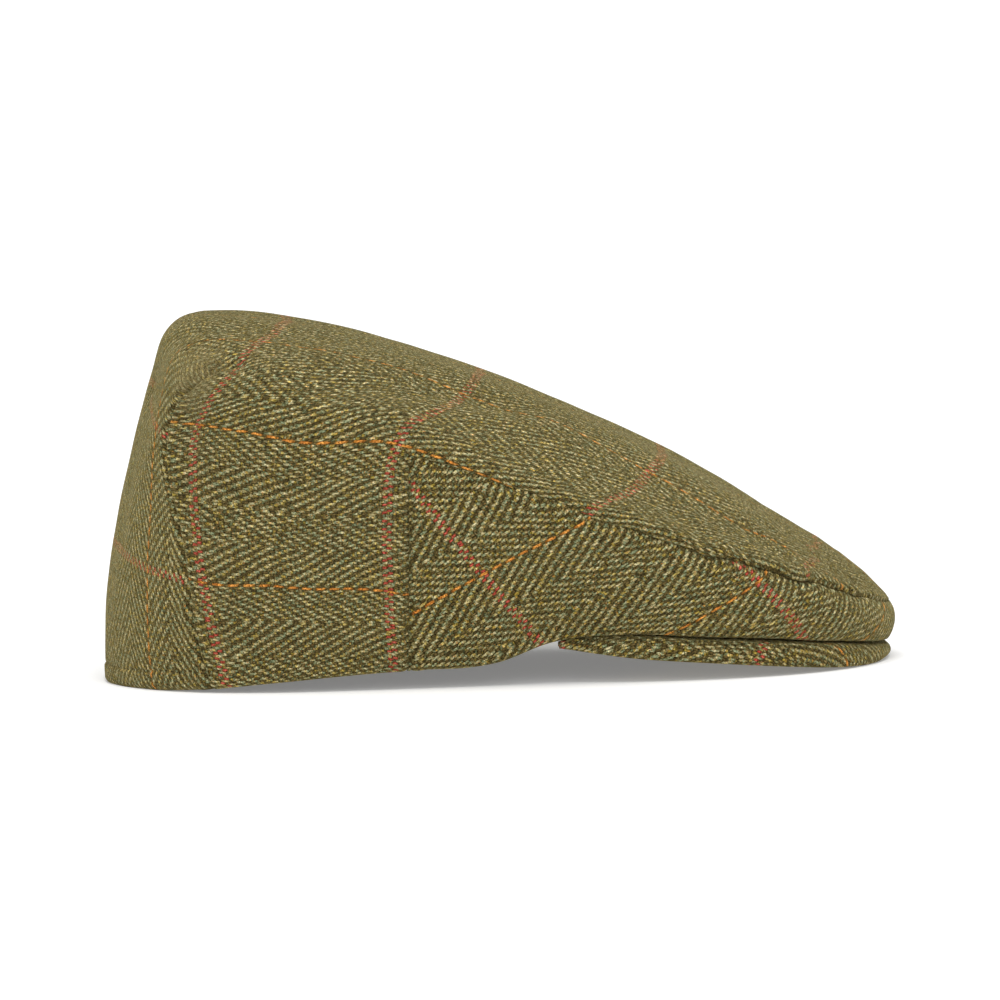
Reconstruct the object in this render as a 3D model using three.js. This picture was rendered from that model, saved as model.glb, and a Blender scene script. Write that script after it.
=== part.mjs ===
// Flat cap in herringbone tweed, in millimetres.
// X runs from the back of the head to the peak, Y to the wearer's left, Z up. The cap rests on z = 0.
// One cloth covers the top, the back and the rear of both sides, with a sewn dart at each rear corner.
// Two triangular side panels close the front, and a stiff covered peak lies under the overhanging crown.
import * as THREE from 'three'

// Cloth, seams and hem
const CLOTH_THICK = 2.0
const SEAM_GAP = 0.3
const SEAM_SINK = 0.7
const SEAM_ROLL = 2.6
const HEM_TOP = 6.4
const HEM_SINK = 0.5
const HEM_ROUND = 0.7
const DART_SINK = 1.3

// The tables are drawn with the cap a little nose-up, and these two settle it on the table
const REST_TILT = THREE.MathUtils.degToRad(1.7)
const REST_DROP = 2.9
const LENGTH_CENTRE = 135.43

// Where the top's cross curves meet, on the centre line
const CROWN_CENTRE_X = 105.0

// Stations round one half of the crown, from the front of the centre line (0) to the back of it (15).
// fold: the edge where the side wall turns over into the top. rim: the lower edge. half: distance from
// the centre line. turn: size of the rounded fold. dome: how flat the top stays before it falls to the
// fold. bulge: how far the wall swells out between rim and fold. seam: height of the long seam on the wall.
const STATIONS = [
  {
    foldX: 269.5, foldHalf: 0.0, foldZ: 30.5, rimX: 267.0, rimHalf: 0.0, rimZ: 16.4,
    turn: 3.5, dome: 40.0, bulge: 1.8, seam: 0.90,
  },
  {
    foldX: 265.2, foldHalf: 24.0, foldZ: 32.8, rimX: 262.0, rimHalf: 27.0, rimZ: 17.6,
    turn: 3.5, dome: 14.0, bulge: 2.2, seam: 0.92,
  },
  {
    foldX: 254.8, foldHalf: 45.0, foldZ: 37.3, rimX: 250.0, rimHalf: 49.0, rimZ: 19.6,
    turn: 3.5, dome: 9.0, bulge: 2.8, seam: 0.94,
  },
  {
    foldX: 238.5, foldHalf: 64.0, foldZ: 42.8, rimX: 232.0, rimHalf: 65.0, rimZ: 21.2,
    turn: 3.5, dome: 6.5, bulge: 3.4, seam: 0.95,
  },
  {
    foldX: 215.0, foldHalf: 79.0, foldZ: 50.0, rimX: 208.0, rimHalf: 75.0, rimZ: 22.8,
    turn: 3.5, dome: 5.0, bulge: 3.8, seam: 0.96,
  },
  {
    foldX: 188.0, foldHalf: 89.5, foldZ: 58.5, rimX: 180.0, rimHalf: 77.5, rimZ: 24.0,
    turn: 3.5, dome: 4.3, bulge: 4.0, seam: 0.965,
  },
  {
    foldX: 160.0, foldHalf: 96.0, foldZ: 68.3, rimX: 155.0, rimHalf: 75.0, rimZ: 21.4,
    turn: 4.5, dome: 3.7, bulge: 4.0, seam: 0.98,
  },
  {
    foldX: 133.0, foldHalf: 99.5, foldZ: 79.5, rimX: 132.0, rimHalf: 77.0, rimZ: 13.8,
    turn: 7.0, dome: 3.2, bulge: 3.5, seam: 0.97,
  },
  {
    foldX: 104.4, foldHalf: 100.6, foldZ: 93.5, rimX: 104.4, rimHalf: 79.0, rimZ: 12.1,
    turn: 12.0, dome: 2.8, bulge: 3.0, seam: 0.91,
  },
  {
    foldX: 79.0, foldHalf: 99.8, foldZ: 102.0, rimX: 78.0, rimHalf: 79.5, rimZ: 9.8,
    turn: 16.0, dome: 2.4, bulge: 3.0, seam: 0.88,
  },
  {
    foldX: 57.0, foldHalf: 95.0, foldZ: 110.5, rimX: 56.5, rimHalf: 77.0, rimZ: 7.6,
    turn: 19.0, dome: 2.0, bulge: 3.0, seam: 0.88,
  },
  {
    foldX: 40.5, foldHalf: 84.0, foldZ: 115.0, rimX: 37.5, rimHalf: 69.5, rimZ: 5.4,
    turn: 19.0, dome: 1.9, bulge: 3.2, seam: 0.88,
  },
  {
    foldX: 30.0, foldHalf: 66.5, foldZ: 119.5, rimX: 21.5, rimHalf: 55.5, rimZ: 4.0,
    turn: 17.0, dome: 2.4, bulge: 4.0, seam: 0.88,
  },
  {
    foldX: 24.5, foldHalf: 45.0, foldZ: 124.0, rimX: 8.6, rimHalf: 36.5, rimZ: 3.0,
    turn: 12.0, dome: 5.0, bulge: 5.0, seam: 0.88,
  },
  {
    foldX: 22.3, foldHalf: 22.5, foldZ: 127.0, rimX: 2.2, rimHalf: 18.5, rimZ: 2.7,
    turn: 11.0, dome: 14.0, bulge: 5.3, seam: 0.88,
  },
  {
    foldX: 21.7, foldHalf: 0.0, foldZ: 128.0, rimX: 0.1, rimHalf: 0.0, rimZ: 2.6,
    turn: 11.0, dome: 40.0, bulge: 5.4, seam: 0.88,
  },
]
const LAST_STATION = STATIONS.length - 1
// The upright seam between a front side panel and the crown cloth stands at this station
const SIDE_SEAM_STATION = 8
// The peak reaches back to this station
const PEAK_END_STATION = 6

// Height of the crown along the centre line, from the back to the front
const RIDGE = [
  { x: 21.7, z: 128.3 },
  { x: 40.0, z: 128.2 },
  { x: 60.0, z: 126.2 },
  { x: 90.0, z: 120.7 },
  { x: 120.0, z: 111.4 },
  { x: 150.0, z: 99.8 },
  { x: 180.0, z: 86.1 },
  { x: 210.0, z: 70.4 },
  { x: 240.0, z: 52.9 },
  { x: 250.0, z: 46.5 },
  { x: 258.0, z: 41.2 },
  { x: 263.5, z: 37.2 },
  { x: 267.0, z: 33.6 },
  { x: 269.5, z: 30.5 },
]

// Course of the rear corner dart: station at each height, where 0 is the rim and 1 the fold
const DART = [
  { height: 0.0, station: 11.0 },
  { height: 0.15, station: 11.24 },
  { height: 0.33, station: 11.45 },
  { height: 0.5, station: 11.73 },
  { height: 0.6, station: 12.02 },
  { height: 0.72, station: 12.24 },
  { height: 0.82, station: 12.16 },
  { height: 0.9, station: 11.9 },
  { height: 1.0, station: 11.42 },
  { height: 1.1, station: 10.9 },
  { height: 2.0, station: 11.5 },
]
const DART_COLUMN = 12
const DART_FADES_FROM = 0.86
const DART_ENDS = 1.06

// Soft dents (positive depth) and raised rolls (negative depth) between two points of the cloth
const FOLDS = [
  { name: 'dart crease', x1: 33, half1: 79, z1: 112, x2: 50, half2: 82, z2: 116, width: 6, depth: 1.8 },
  { name: 'back edge hollow', x1: 28, half1: 42, z1: 125, x2: 15, half2: 20, z2: 103, width: 8, depth: 1.5 },
  { name: 'back hollow', x1: 15, half1: 20, z1: 103, x2: 6, half2: 24, z2: 56, width: 9, depth: 0.9 },
  { name: 'back corner roll', x1: 26, half1: 58, z1: 118, x2: 18, half2: 50, z2: 80, width: 10, depth: -1.2 },
  { name: 'side fold roll', x1: 40, half1: 86, z1: 111, x2: 66, half2: 89, z2: 111, width: 8, depth: -1.0 },
  { name: 'top hollow', x1: 69, half1: 89, z1: 110, x2: 137, half2: 52, z2: 103, width: 12, depth: 2.6 },
  { name: 'front top swell', x1: 165, half1: 45, z1: 90, x2: 225, half2: 38, z2: 60, width: 20, depth: -1.0 },
]

// Sections of the peak by crown station. in: its rear edge, where the head opening ends.
// reach: how far it shows in front of the crown's lower edge. low: its lowest line. thick: board and cloth.
const PEAK = [
  { inX: 194.0, inHalf: 0.0, inZ: 27.0, reach: 2.0, low: 12.3, thick: 4.2 },
  { inX: 191.5, inHalf: 22.0, inZ: 26.8, reach: 2.2, low: 10.9, thick: 4.2 },
  { inX: 185.0, inHalf: 42.0, inZ: 26.2, reach: 2.6, low: 11.1, thick: 4.2 },
  { inX: 176.0, inHalf: 57.0, inZ: 25.4, reach: 3.0, low: 12.6, thick: 4.2 },
  { inX: 168.0, inHalf: 66.0, inZ: 24.6, reach: 3.0, low: 14.5, thick: 4.0 },
  { inX: 161.0, inHalf: 70.5, inZ: 23.6, reach: 2.4, low: 16.4, thick: 3.4 },
  { inX: 154.5, inHalf: 71.0, inZ: 21.4, reach: 0.4, low: 19.6, thick: 1.4 },
]
const PEAK_CLEARANCE = 0.7
const PEAK_CROWNING = 1.2

// Catmull-Rom value of a table column at a fractional row. Past an end on the centre line the other half
// of the cap follows, where distances from the centre line change sign. Past a free end it runs on straight.
function tableValue(table, column, position, endsOnCentre = true) {
  const last = table.length - 1
  const at = Math.min(Math.max(position, 0), last)
  const row = Math.min(Math.floor(at), last - 1)
  const f = at - row
  const odd = column.endsWith('Half')
  const pick = (index) => {
    if (index > last && !endsOnCentre) return 2 * table[last][column] - table[2 * last - index][column]
    const outside = index < 0 || index > last
    const inside = index < 0 ? -index : index > last ? 2 * last - index : index
    return table[inside][column] * (outside && odd ? -1 : 1)
  }
  const [a, b, c, d] = [pick(row - 1), pick(row), pick(row + 1), pick(row + 2)]
  const bend = 2 * a - 5 * b + 4 * c - d
  return 0.5 * (2 * b + (c - a) * f + bend * f * f + (3 * b - a - 3 * c + d) * f * f * f)
}

// Smooth value between the rows of a table sorted by one of its columns
function curveValue(table, along, column, at) {
  const last = table.length - 1
  const x = Math.min(Math.max(at, table[0][along]), table[last][along])
  let row = 0
  while (row < last - 1 && table[row + 1][along] < x) row += 1
  const slope = (k) => {
    const before = Math.max(k - 1, 0)
    const after = Math.min(k + 1, last)
    return (table[after][column] - table[before][column]) / (table[after][along] - table[before][along])
  }
  const span = table[row + 1][along] - table[row][along]
  const f = (x - table[row][along]) / span
  const f2 = f * f
  const f3 = f2 * f
  return (
    (2 * f3 - 3 * f2 + 1) * table[row][column] +
    (f3 - 2 * f2 + f) * span * slope(row) +
    (3 * f2 - 2 * f3) * table[row + 1][column] +
    (f3 - f2) * span * slope(row + 1)
  )
}

const smoothStep = (from, to, x) => THREE.MathUtils.smoothstep(x, from, to)
const station = (column, t) => tableValue(STATIONS, column, t)
const ridgeHeight = (x) => curveValue(RIDGE, 'x', 'z', x)

const foldPoint = (t) => new THREE.Vector3(station('foldX', t), station('foldHalf', t), station('foldZ', t))
const rimPoint = (t) => new THREE.Vector3(station('rimX', t), station('rimHalf', t), station('rimZ', t))
const wallHeight = (t) => foldPoint(t).distanceTo(rimPoint(t))

// Outward direction of the wall in plan
function wallOutward(t) {
  const step = 0.02
  const ahead = Math.min(t + step, LAST_STATION)
  const behind = Math.max(t - step, 0)
  const run = foldPoint(ahead).add(rimPoint(ahead)).sub(foldPoint(behind)).sub(rimPoint(behind))
  if (t < step || t > LAST_STATION - step) run.x = 0
  return new THREE.Vector3(run.y, -run.x, 0).normalize()
}

function wallPoint(t, h) {
  const swell = station('bulge', t) * 4 * h * (1 - h) * (1.25 - 0.5 * h)
  return rimPoint(t).lerp(foldPoint(t), h).addScaledVector(wallOutward(t), swell)
}

function topPoint(t, r) {
  const fold = foldPoint(t)
  const x = CROWN_CENTRE_X + r * (fold.x - CROWN_CENTRE_X)
  const rise = (ridgeHeight(x) - fold.z) * (1 - r ** station('dome', t))
  return new THREE.Vector3(x, r * fold.y, fold.z + rise)
}

// Smooth outer form of one half of the crown: height 0 is the rim, 1 the fold and 2 the crown centre
function formPoint(t, height) {
  const turn = station('turn', t)
  const fold = foldPoint(t)
  const below = 1 - turn / wallHeight(t)
  const above = 1 + turn / Math.hypot(fold.x - CROWN_CENTRE_X, fold.y)
  if (height <= below) return wallPoint(t, height)
  if (height >= above) return topPoint(t, 2 - height)
  const f = (height - below) / (above - below)
  const corner = wallPoint(t, below).multiplyScalar((1 - f) * (1 - f))
  corner.addScaledVector(fold, 2 * f * (1 - f))
  return corner.addScaledVector(topPoint(t, 2 - above), f * f)
}

function formNormal(t, height) {
  const step = 0.02
  const t1 = Math.max(t - step, 0)
  const t2 = Math.min(t + step, LAST_STATION)
  const h1 = Math.max(height - step, 0)
  const h2 = Math.min(height + step, 1.98)
  const along = formPoint(t2, height).sub(formPoint(t1, height))
  const up = formPoint(t, h2).sub(formPoint(t, h1))
  if (height > 1.97) return new THREE.Vector3(0.28, 0, 0.96).normalize()
  const normal = along.cross(up)
  if (t === 0 || t === LAST_STATION) normal.y = 0
  return normal.normalize()
}

// How far the soft dents push a point of the cloth inward
function foldDepth(point) {
  let total = 0
  for (const fold of FOLDS) {
    const start = new THREE.Vector3(fold.x1, fold.half1, fold.z1)
    const end = new THREE.Vector3(fold.x2, fold.half2, fold.z2)
    const nearest = new THREE.Line3(start, end).closestPointToPoint(point, true, new THREE.Vector3())
    total += fold.depth * Math.exp(-((nearest.distanceTo(point) / fold.width) ** 2))
  }
  return total
}

// A point of the cloth: the smooth form with its dents, sunk by a local amount, and its inner twin
function clothPoint(t, height, sink, thick) {
  const form = formPoint(t, height)
  const normal = formNormal(t, height)
  const outer = form.clone().addScaledVector(normal, -foldDepth(form) - sink)
  const inner = form.clone().addScaledVector(normal, -foldDepth(form) - Math.min(sink, 0.5) - thick)
  return { outer, inner, normal }
}

// Settles a point of the drawing frame on the table, for the wearer's right (-1) or left (1) half
function settle(point, side) {
  const x = point.x * Math.cos(REST_TILT) + point.z * Math.sin(REST_TILT) - LENGTH_CENTRE
  const z = point.z * Math.cos(REST_TILT) - point.x * Math.sin(REST_TILT) - REST_DROP
  return new THREE.Vector3(x, side * point.y, Math.max(z, 0))
}

// Closed body between a grid of outer points and its inner twins. grid[i][j] holds { outer, inner, edge },
// where edge is the point halfway round the cloth's turned edge. Cells that are absent leave an opening.
function clothBody(grid, wraps, hasCell) {
  const columns = grid.length
  const rows = grid[0].length
  const positions = []
  const slots = new Map()
  const vertex = (i, j, kind) => {
    const column = (i + columns) % columns
    const merged = grid[column][j].merged
    const key = `${merged ? 'centre' : column} ${j} ${kind}`
    if (!slots.has(key)) {
      slots.set(key, positions.length / 3)
      positions.push(...grid[column][j][kind].toArray())
    }
    return slots.get(key)
  }
  const faces = []
  const triangle = (a, b, c) => {
    if (a !== b && b !== c && a !== c) faces.push(a, c, b)
  }
  const quad = (a, b, c, d) => {
    triangle(a, b, c)
    triangle(a, c, d)
  }
  const present = (i, j) => {
    if (j < 0 || j >= rows - 1) return false
    if (!wraps && (i < 0 || i >= columns - 1)) return false
    return hasCell((i + columns) % columns, j)
  }
  const border = (i1, j1, i2, j2) => {
    quad(vertex(i1, j1, 'outer'), vertex(i1, j1, 'edge'), vertex(i2, j2, 'edge'), vertex(i2, j2, 'outer'))
    quad(vertex(i1, j1, 'edge'), vertex(i1, j1, 'inner'), vertex(i2, j2, 'inner'), vertex(i2, j2, 'edge'))
  }
  for (let i = 0; i < (wraps ? columns : columns - 1); i += 1) {
    for (let j = 0; j < rows - 1; j += 1) {
      if (!present(i, j)) continue
      const corners = [[i, j], [i + 1, j], [i + 1, j + 1], [i, j + 1]]
      quad(...corners.map(([a, b]) => vertex(a, b, 'outer')))
      quad(...corners.toReversed().map(([a, b]) => vertex(a, b, 'inner')))
      const atCentre = grid[(i + columns) % columns][j + 1].merged
      if (!present(i, j - 1)) border(i, j, i + 1, j)
      if (!present(i + 1, j)) border(i + 1, j, i + 1, j + 1)
      if (!present(i, j + 1) && !atCentre) border(i + 1, j + 1, i, j + 1)
      if (!present(i - 1, j)) border(i, j + 1, i, j)
    }
  }
  const geometry = new THREE.BufferGeometry()
  geometry.setAttribute('position', new THREE.Float32BufferAttribute(positions, 3))
  geometry.setIndex(faces)
  return geometry
}

// Turns a geometry inside out, for bodies drawn with their columns the other way round
function reverseFaces(geometry) {
  const index = geometry.getIndex()
  for (let k = 0; k < index.count; k += 3) {
    const first = index.getX(k)
    index.setX(k, index.getX(k + 2))
    index.setX(k + 2, first)
  }
  return geometry
}

// Grid node from a cloth point: the turned edge is rounded a little outward along the given direction
function gridNode(cloth, side, edgeDirection) {
  const middle = cloth.outer.clone().lerp(cloth.inner, 0.5).addScaledVector(edgeDirection, HEM_ROUND)
  return {
    outer: settle(cloth.outer, side),
    inner: settle(cloth.inner, side),
    edge: settle(middle, side),
    merged: false,
  }
}

const STILL = new THREE.Vector3(0, 0, 0)
const DOWN = new THREE.Vector3(0, 0, -1)
const halfGap = SEAM_GAP / 2
const MM_PER_STATION = 26.5
const SEAM_STATION_GAP = halfGap / MM_PER_STATION

// Rows of the lower wall in millimetres above the rim: turned edge, hem roll, stitch line, cloth above it
const HEM_ROWS = [
  { above: 0.0, sink: 0.6 },
  { above: 2.0, sink: -0.1 },
  { above: HEM_TOP, sink: HEM_SINK },
  { above: 8.8, sink: 0.0 },
]
const WALL_SHARES = [0.25, 0.5, 0.75]
const CORNER_SHARES = [0.35, 0.7, 1.0]
const TOP_SHARES = [0.16, 0.34, 0.54, 0.76, 1.0]

// Crown cloth: top, back and rear sides in one piece
function crownColumns() {
  const columns = []
  for (let c = 0; c < SIDE_SEAM_STATION; c += 0.5) columns.push(c)
  columns.push(SIDE_SEAM_STATION + SEAM_STATION_GAP, SIDE_SEAM_STATION + SEAM_ROLL / MM_PER_STATION)
  for (let c = SIDE_SEAM_STATION + 0.5; c <= LAST_STATION; c += 0.5) {
    if (c === DART_COLUMN) columns.push(c - 0.12)
    columns.push(c)
    if (c === DART_COLUMN) columns.push(c + 0.12)
  }
  return columns
}

// The columns behind the side seam lean so that one of them follows the dart
function columnStation(column, height) {
  if (column <= SIDE_SEAM_STATION + 0.2) return column
  const dart = curveValue(DART, 'height', 'station', height)
  if (column < DART_COLUMN) {
    const start = SIDE_SEAM_STATION + 0.2
    return start + ((column - start) * (dart - start)) / (DART_COLUMN - start)
  }
  return dart + ((column - DART_COLUMN) * (LAST_STATION - dart)) / (LAST_STATION - DART_COLUMN)
}

function crownRows(column) {
  const t = columnStation(column, 0.5)
  const wall = wallHeight(t)
  const fold = foldPoint(t)
  const above = 1 + station('turn', t) / Math.hypot(fold.x - CROWN_CENTRE_X, fold.y)
  const sewn = column <= SIDE_SEAM_STATION + SEAM_STATION_GAP
  const seam = station('seam', t) + (sewn ? halfGap / wall : 0)
  const hem = HEM_ROWS.map((row) => ({ height: row.above / wall, sink: row.sink, rim: row.above === 0 }))
  const hemTop = hem[hem.length - 1].height
  const lower = WALL_SHARES.map((share) => ({ height: hemTop + (seam - hemTop) * share, sink: 0 }))
  const edge = { height: seam, sink: sewn ? SEAM_SINK : 0 }
  const roll = seam + SEAM_ROLL / wall
  const corner = CORNER_SHARES.map((share) => ({ height: roll + (above - roll) * share, sink: 0 }))
  const top = TOP_SHARES.map((share) => ({ height: above + (2 - above) * share, sink: 0 }))
  return [...hem, ...lower, edge, { height: roll, sink: sewn ? -0.5 : 0 }, ...corner, ...top]
}

function crownNode(column, rowIndex, side) {
  const row = crownRows(column)[rowIndex]
  const t = columnStation(column, row.height)
  const atSeam = Math.abs(column - SIDE_SEAM_STATION - SEAM_STATION_GAP) < 1e-6
  const edgeOfSeam = atSeam && row.height < station('seam', t)
  const dartFade = 1 - smoothStep(DART_FADES_FROM, DART_ENDS, row.height)
  const dartSink = column === DART_COLUMN ? DART_SINK * dartFade : 0
  const sink = Math.max(row.sink, edgeOfSeam ? SEAM_SINK : row.sink, dartSink)
  const node = gridNode(clothPoint(t, row.height, sink, CLOTH_THICK), side, row.rim ? DOWN : STILL)
  node.merged = row.height >= 2
  return node
}

function crownCloth() {
  const half = crownColumns()
  const back = half.slice(1, -1).toReversed()
  const round = [...half.map((c) => [c, -1]), ...back.map((c) => [c, 1])]
  const rowCount = crownRows(0).length
  const seamRow = HEM_ROWS.length + WALL_SHARES.length
  const grid = round.map(([column, side]) =>
    Array.from({ length: rowCount }, (_, j) => crownNode(column, j, side)),
  )
  const behindSeam = (k) => round[k % round.length][0] > SIDE_SEAM_STATION
  const hasCell = (i, j) => j >= seamRow || (behindSeam(i) && behindSeam(i + 1))
  return clothBody(grid, true, hasCell)
}

// Front side panel: from the upright seam to the front centre, under the crown cloth's edge
function frontSide(side) {
  const columns = [SEAM_STATION_GAP, 0.12, 0.5]
  for (let c = 1; c < SIDE_SEAM_STATION; c += 0.5) columns.push(c)
  columns.push(SIDE_SEAM_STATION - SEAM_ROLL / MM_PER_STATION, SIDE_SEAM_STATION - SEAM_STATION_GAP)
  const last = columns.length - 1
  const grid = columns.map((t, i) => {
    const wall = wallHeight(t)
    const seam = station('seam', t) - halfGap / wall
    const hem = HEM_ROWS.slice(0, 2).map(({ above, sink }) => ({ height: above / wall, sink, rim: above === 0 }))
    const bottom = hem[1].height
    const roll = seam - (SEAM_ROLL - 0.4) / wall
    const shares = [0.22, 0.42, 0.62, 0.82]
    const middle = shares.map((share) => ({ height: bottom + (roll - bottom) * share, sink: 0 }))
    const rows = [...hem, ...middle, { height: roll, sink: 0 }, { height: seam, sink: SEAM_SINK + 0.2 }]
    return rows.map((row) => {
      const sink = i === 0 || i === last ? Math.max(row.sink, SEAM_SINK) : row.sink
      const lift = row.rim && t <= PEAK_END_STATION ? STILL : DOWN
      return gridNode(clothPoint(t, row.height, sink, CLOTH_THICK), side, row.rim ? lift : STILL)
    })
  })
  const geometry = clothBody(grid, false, () => true)
  return side > 0 ? reverseFaces(geometry) : geometry
}

// One closed section of the peak at a crown station, as points from its rear edge over the top and back below
function peakSection(t, side) {
  const value = (column) => tableValue(PEAK, column, t, false)
  const outward = wallOutward(t)
  const base = rimPoint(t)
  base.z -= PEAK_CLEARANCE
  const rear = new THREE.Vector3(value('inX'), value('inHalf'), value('inZ'))
  const [reach, low, thick] = [value('reach'), value('low'), value('thick')]
  const drop = base.z - low
  const topAt = (share) => {
    const point = rear.clone().lerp(base, share)
    point.z += PEAK_CROWNING * 4 * share * (1 - share) * 0.5
    return point
  }
  const edgeAt = (out, down) => base.clone().addScaledVector(outward, out).add(new THREE.Vector3(0, 0, -down))
  const under = (share, extra) => topAt(share).add(new THREE.Vector3(0, 0, -thick - extra))
  const lip = Math.max(drop - thick, 0)
  const points = [
    topAt(0), topAt(0.3), topAt(0.6), topAt(0.85), topAt(1),
    edgeAt(reach * 0.5, drop * 0.12), edgeAt(reach * 0.85, drop * 0.34),
    edgeAt(reach, drop * 0.62), edgeAt(reach * 0.9, drop * 0.86), edgeAt(reach * 0.45, drop),
    edgeAt(-reach * 0.4, drop - lip * 0.12),
    under(0.93, lip * 0.45), under(0.8, lip * 0.12), under(0.55, 0), under(0.28, 0), under(0, 0),
  ]
  return points.map((point) => settle(point, side))
}

function peakBody() {
  const sections = []
  for (let t = -PEAK_END_STATION; t <= PEAK_END_STATION; t += 0.5) {
    sections.push(peakSection(Math.abs(t), t < 0 ? -1 : 1))
  }
  const size = sections[0].length
  const positions = sections.flat().flatMap((point) => point.toArray())
  const faces = []
  for (let i = 0; i < sections.length - 1; i += 1) {
    for (let j = 0; j < size; j += 1) {
      const a = i * size + j
      const b = i * size + ((j + 1) % size)
      faces.push(a, b + size, a + size, a, b, b + size)
    }
  }
  const ends = [{ section: 0, flip: true }, { section: sections.length - 1, flip: false }]
  for (const end of ends) {
    const centre = sections[end.section].reduce((sum, point) => sum.add(point), new THREE.Vector3())
    const tip = positions.length / 3
    positions.push(...centre.divideScalar(size).toArray())
    for (let j = 0; j < size; j += 1) {
      const a = end.section * size + j
      const b = end.section * size + ((j + 1) % size)
      if (end.flip) faces.push(tip, b, a)
      else faces.push(tip, a, b)
    }
  }
  const geometry = new THREE.BufferGeometry()
  geometry.setAttribute('position', new THREE.Float32BufferAttribute(positions, 3))
  geometry.setIndex(faces)
  return geometry
}

function tweed(name, colour, geometry) {
  geometry.computeVertexNormals()
  const material = new THREE.MeshStandardMaterial({ color: colour, roughness: 0.95, metalness: 0 })
  const mesh = new THREE.Mesh(geometry, material)
  mesh.name = name
  return mesh
}

const cap = new THREE.Group()
cap.name = 'flat_cap'
cap.add(tweed('crown_cloth', 0x807550, crownCloth()))
cap.add(tweed('front_side_right', 0x746643, frontSide(-1)))
cap.add(tweed('front_side_left', 0x746643, frontSide(1)))
cap.add(tweed('peak', 0x716443, peakBody()))

export default cap
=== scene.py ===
import math
from types import SimpleNamespace

import bmesh
import bpy
import numpy as np
from mathutils import Matrix, Vector


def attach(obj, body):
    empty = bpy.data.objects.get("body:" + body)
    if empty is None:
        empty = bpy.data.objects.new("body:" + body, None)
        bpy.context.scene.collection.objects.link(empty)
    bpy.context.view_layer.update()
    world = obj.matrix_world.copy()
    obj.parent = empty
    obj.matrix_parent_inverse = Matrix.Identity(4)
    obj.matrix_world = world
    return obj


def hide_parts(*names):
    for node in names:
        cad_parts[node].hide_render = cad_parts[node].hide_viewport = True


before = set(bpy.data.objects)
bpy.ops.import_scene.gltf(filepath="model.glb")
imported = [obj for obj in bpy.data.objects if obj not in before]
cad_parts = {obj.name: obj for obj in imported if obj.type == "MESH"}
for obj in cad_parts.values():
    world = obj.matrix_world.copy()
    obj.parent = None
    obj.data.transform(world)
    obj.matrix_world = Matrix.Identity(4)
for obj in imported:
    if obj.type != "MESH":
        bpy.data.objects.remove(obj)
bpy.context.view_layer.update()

# Herringbone tweed flat cap. The tables are in millimetres and are drawn with the cap a little nose-up:
# x runs from the back of the head to the peak, half is the distance from the centre line, z is up.

CLOTH_THICK = 2.0
HALF_GAP = 0.16
REST_TILT = math.radians(1.7)
REST_DROP = 2.9
LENGTH_CENTRE = 135.43
CROWN_CENTRE_X = 105.0
SIDE_SEAM = 8.0
PEAK_END = 6.0
STITCH_LINE = 6.4
MM = 0.001


def table(names, rows):
    return dict(zip(names.split(), np.array(rows, dtype=float).T))


# Stations round one half of the crown, from the front of the centre line (0) to the back of it (15). The
# wall stands between the rim and the fold, where the top turns down: turn is how far the fold is rounded,
# bulge how far the wall swells, and seam the share of the wall below the long seam.
STATIONS = table(
    "fold_x fold_half fold_z rim_x rim_half rim_z turn dome bulge seam",
    [
        (269.5, 0.0, 30.5, 267.0, 0.0, 16.4, 3.5, 40.0, 1.8, 0.900),
        (265.2, 24.0, 32.8, 262.0, 27.0, 17.6, 3.5, 14.0, 2.2, 0.920),
        (254.8, 45.0, 37.3, 250.0, 49.0, 19.6, 3.5, 9.0, 2.8, 0.940),
        (238.5, 64.0, 42.8, 232.0, 65.0, 21.2, 3.5, 6.5, 3.4, 0.950),
        (215.0, 79.0, 50.0, 208.0, 75.0, 22.8, 3.5, 5.0, 3.8, 0.960),
        (188.0, 89.5, 58.5, 180.0, 77.5, 24.0, 3.5, 4.3, 4.0, 0.965),
        (160.0, 96.0, 68.3, 155.0, 75.0, 21.4, 4.5, 3.7, 4.0, 0.980),
        (133.0, 99.5, 79.5, 132.0, 77.0, 13.8, 7.0, 3.2, 3.5, 0.970),
        (104.4, 100.6, 93.5, 104.4, 79.0, 12.1, 12.0, 2.8, 3.0, 0.910),
        (79.0, 99.8, 102.0, 78.0, 79.5, 9.8, 16.0, 2.4, 3.0, 0.880),
        (57.0, 95.0, 110.5, 56.5, 77.0, 7.6, 19.0, 2.0, 3.0, 0.880),
        (40.5, 84.0, 115.0, 37.5, 69.5, 5.4, 19.0, 1.9, 3.2, 0.880),
        (30.0, 66.5, 119.5, 21.5, 55.5, 4.0, 17.0, 2.4, 4.0, 0.880),
        (24.5, 45.0, 124.0, 8.6, 36.5, 3.0, 12.0, 5.0, 5.0, 0.880),
        (22.3, 22.5, 127.0, 2.2, 18.5, 2.7, 11.0, 14.0, 5.3, 0.880),
        (21.7, 0.0, 128.0, 0.1, 0.0, 2.6, 11.0, 40.0, 5.4, 0.880),
    ],
)
LAST = 15.0

# Height of the crown along the centre line
RIDGE = table(
    "x z",
    [
        (21.7, 128.3), (40.0, 128.2), (60.0, 126.2), (90.0, 120.7), (120.0, 111.4), (150.0, 99.8),
        (180.0, 86.1), (210.0, 70.4), (240.0, 52.9), (250.0, 46.5), (258.0, 41.2), (263.5, 37.2),
        (267.0, 33.6), (269.5, 30.5),
    ],
)

# Course of the rear corner dart: station at each height, where 0 is the rim and 1 the fold
DART = table(
    "height station",
    [
        (0.0, 11.0), (0.15, 11.24), (0.33, 11.45), (0.5, 11.73), (0.6, 12.02), (0.72, 12.24),
        (0.82, 12.16), (0.9, 11.9), (1.0, 11.42), (1.1, 10.9), (2.0, 11.5),
    ],
)
DART_COLUMN = 12.0

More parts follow.
